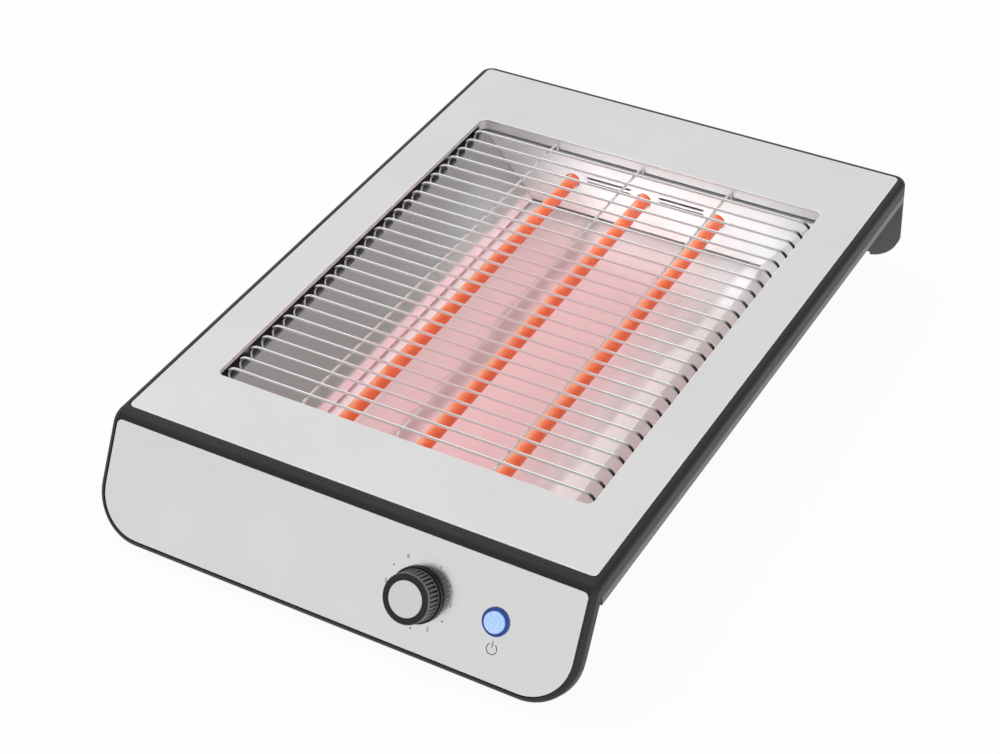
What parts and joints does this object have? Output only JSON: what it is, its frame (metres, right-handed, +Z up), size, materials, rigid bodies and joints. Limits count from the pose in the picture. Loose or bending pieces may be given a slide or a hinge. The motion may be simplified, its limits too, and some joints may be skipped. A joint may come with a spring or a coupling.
{
  "type": "horizontal toaster",
  "caption": "Flat toaster with a wire grill over glowing quartz tubes, a sloping steel control panel with a fluted knob and a lit button, and a rear crumb tray.",
  "frame": {"origin": "on the table, under the middle of the whole toaster", "axes": "+X to the right seen from the control panel, +Y to the rear, +Z up"},
  "size_m": [0.277, 0.4064, 0.0613],
  "materials": {
    "black_plastic": "satin",
    "grey_plastic": "satin",
    "steel_plate": "brushed",
    "reflector": "polished",
    "wire": "polished",
    "quartz": "glowing",
    "coil": "glowing",
    "ceramic": "matt",
    "zinc_sheet": "matt",
    "rubber": "matt",
    "screw_steel": "plain",
    "silver_disc": "spun",
    "blue_lens": "lit",
    "blue_ring": "gloss",
    "wire_insulation": "matt",
    "dark_bakelite": "matt",
    "fuse_case": "plain"
  },
  "bodies": {
    "base": {"lower_housing": "grey_plastic", "upper_frame": "black_plastic", "top_plate": "steel_plate", "front_panel": "steel_plate", "base_plate": "zinc_sheet", "rubber_feet": "rubber", "base_screws": "screw_steel", "frame_screws": "screw_steel", "reflector_screws": "screw_steel", "grill_cross_wires": "wire", "grill_long_wires": "wire", "side_reflector_left": "reflector", "side_reflector_right": "reflector", "front_end_reflector": "reflector", "rear_end_reflector": "reflector", "quartz_tube_left": "quartz", "quartz_tube_centre": "quartz", "quartz_tube_right": "quartz", "heating_coil_left": "coil", "heating_coil_centre": "coil", "heating_coil_right": "coil", "ceramic_caps_front": "ceramic", "ceramic_caps_rear": "ceramic", "tube_bracket_front": "zinc_sheet", "tube_bracket_rear": "zinc_sheet", "tray_guides": "zinc_sheet", "rotary_control": "dark_bakelite", "bushing_nut": "screw_steel", "button_ring": "blue_ring", "power_switch": "dark_bakelite", "indicator_lamp": "blue_lens", "terminal_block": "ceramic", "thermal_fuse": "fuse_case", "wiring": "wire_insulation", "cord_gland": "black_plastic"},
    "knob": {"knob": "black_plastic", "knob_disc": "silver_disc", "knob_shaft": "screw_steel"},
    "button": {"button_cap": "blue_lens"},
    "tray": {"crumb_tray": "reflector", "crumb_tray_handle": "black_plastic"}
  },
  "joints": [
    {"name": "knob_turn", "type": "hinge", "parent": "base", "child": "knob", "pos_m": [0.0504, -0.18679, 0.03167], "axis": [0, 0.866, -0.5], "range_deg": [0, 300]},
    {"name": "button_press", "type": "slide", "parent": "base", "child": "button", "axis": [0, 0.866, -0.5], "range_m": [0, 0.0018], "stiffness_N_per_m": 400},
    {"name": "tray_slide", "type": "slide", "parent": "base", "child": "tray", "axis": [0, 1, 0], "range_m": [0, 0.27]}
  ]
}
